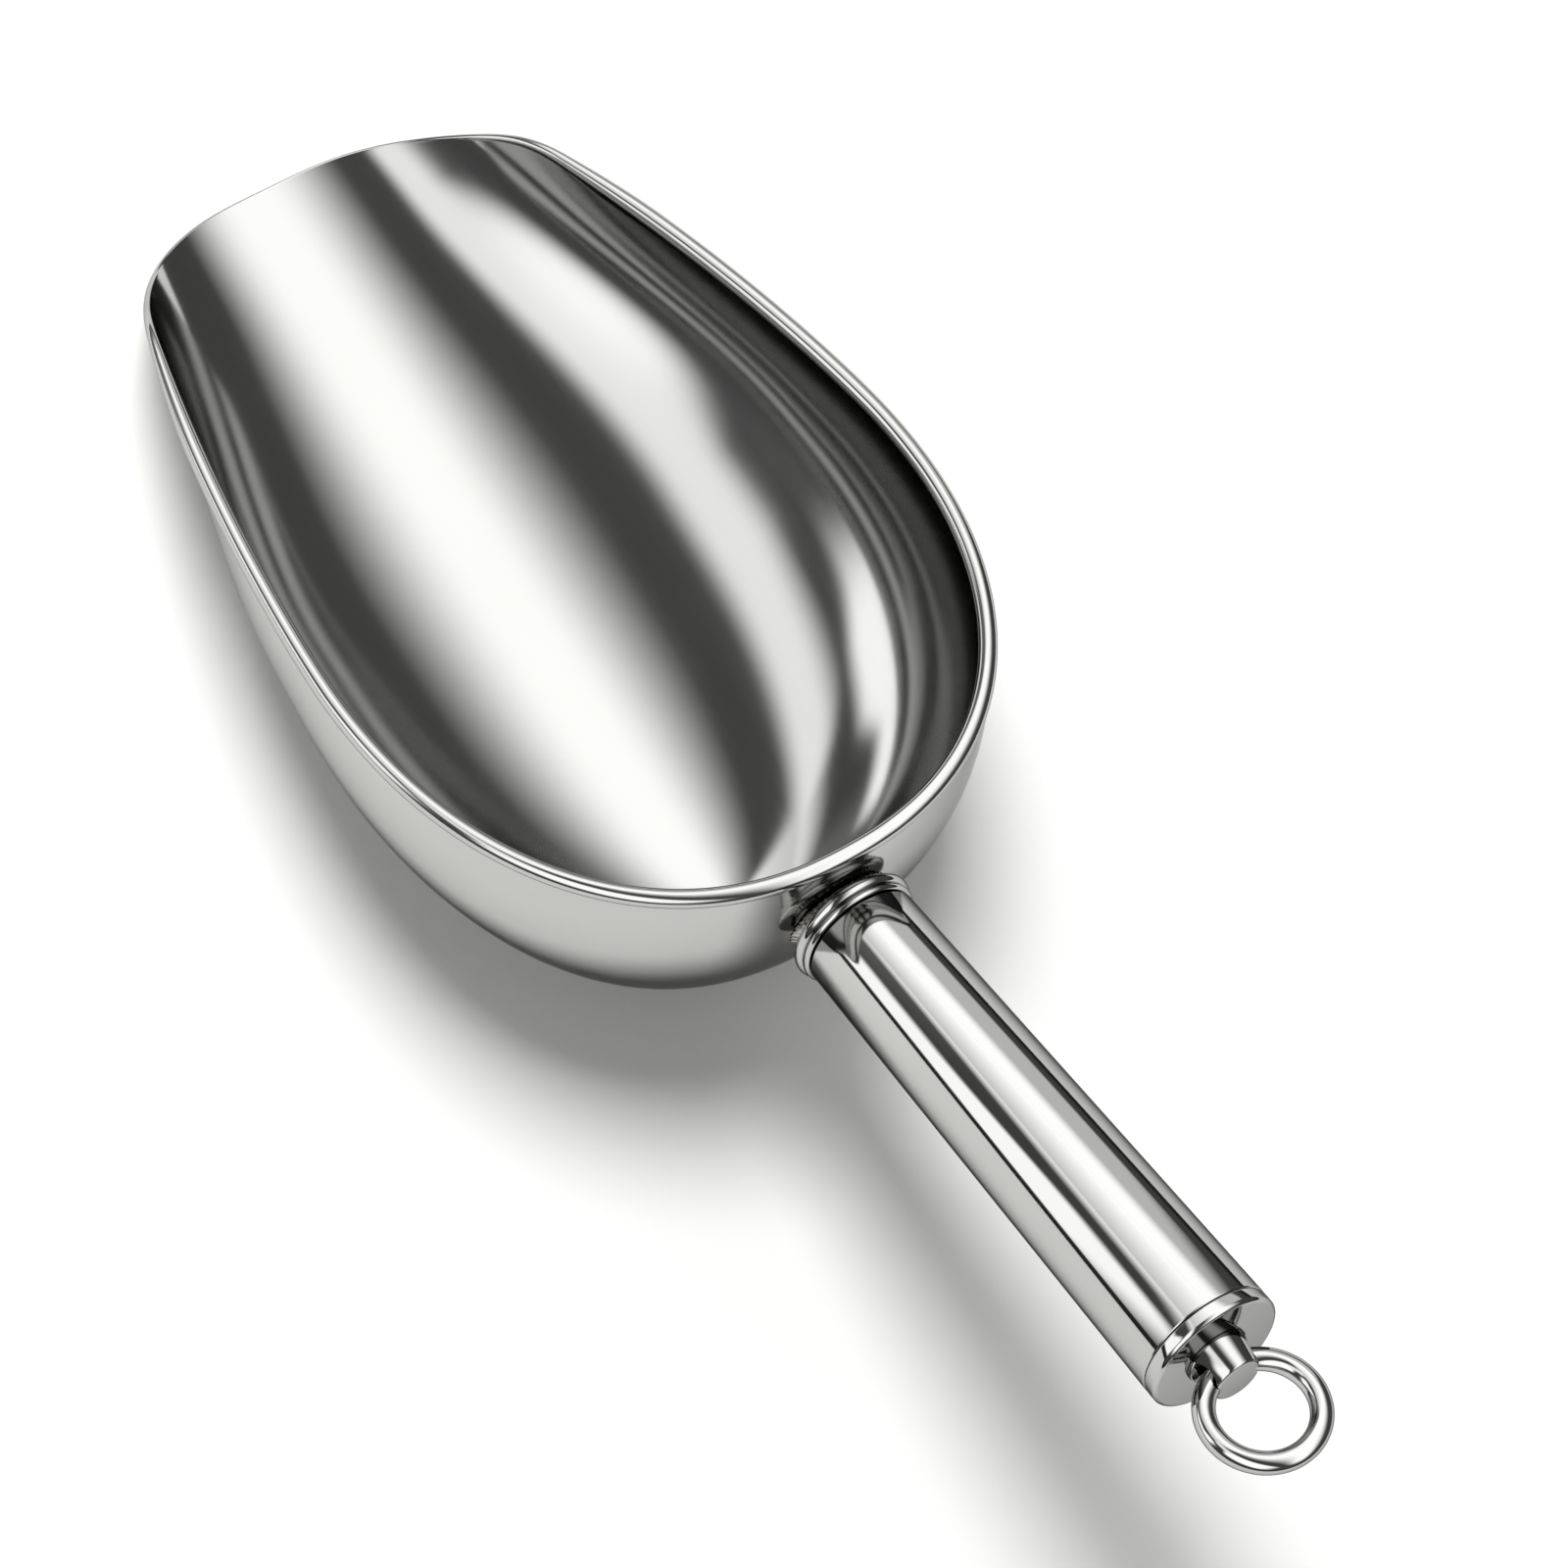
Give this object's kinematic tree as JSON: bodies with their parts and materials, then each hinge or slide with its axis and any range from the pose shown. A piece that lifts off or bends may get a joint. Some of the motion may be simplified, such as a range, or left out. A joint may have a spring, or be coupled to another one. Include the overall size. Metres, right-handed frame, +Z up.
{
  "type": "ice scoop",
  "caption": "Polished steel ice scoop: deep trough bowl with a rolled rim and open front lip, straight tapered tube handle, and a swinging hanging ring at its end.",
  "frame": {"origin": "bottom centre of the object's box: on the underside of the bowl's keel plane, on the mirror plane, halfway along the overall length", "axes": "+Z up out of the bowl, +Y along the scoop from the lip to the handle, X across; X = 0 is the mirror plane"},
  "size_m": [0.0946, 0.2416, 0.0761],
  "materials": {
    "drawn_steel": "mirror-polished drawn stainless steel sheet",
    "tube_steel": "polished stainless steel tube",
    "turned_steel": "turned and buffed stainless steel",
    "weld_steel": "brushed-over weld bead",
    "ring_wire": "polished stainless steel round wire"
  },
  "bodies": {
    "scoop": {"bowl": "drawn_steel", "neck": "turned_steel", "neck_weld": "weld_steel", "collar": "turned_steel", "handle_tube": "tube_steel", "end_cap": "tube_steel", "ring_stud": "turned_steel", "stud_washer": "turned_steel"},
    "ring": {"hanging_ring": "ring_wire"}
  },
  "joints": [
    {"name": "ring_swing", "type": "hinge", "parent": "scoop", "child": "ring", "pos_m": [0, 0.10454, 0.06761], "axis": [1, 0, 0], "range_deg": [-80, 84]}
  ]
}
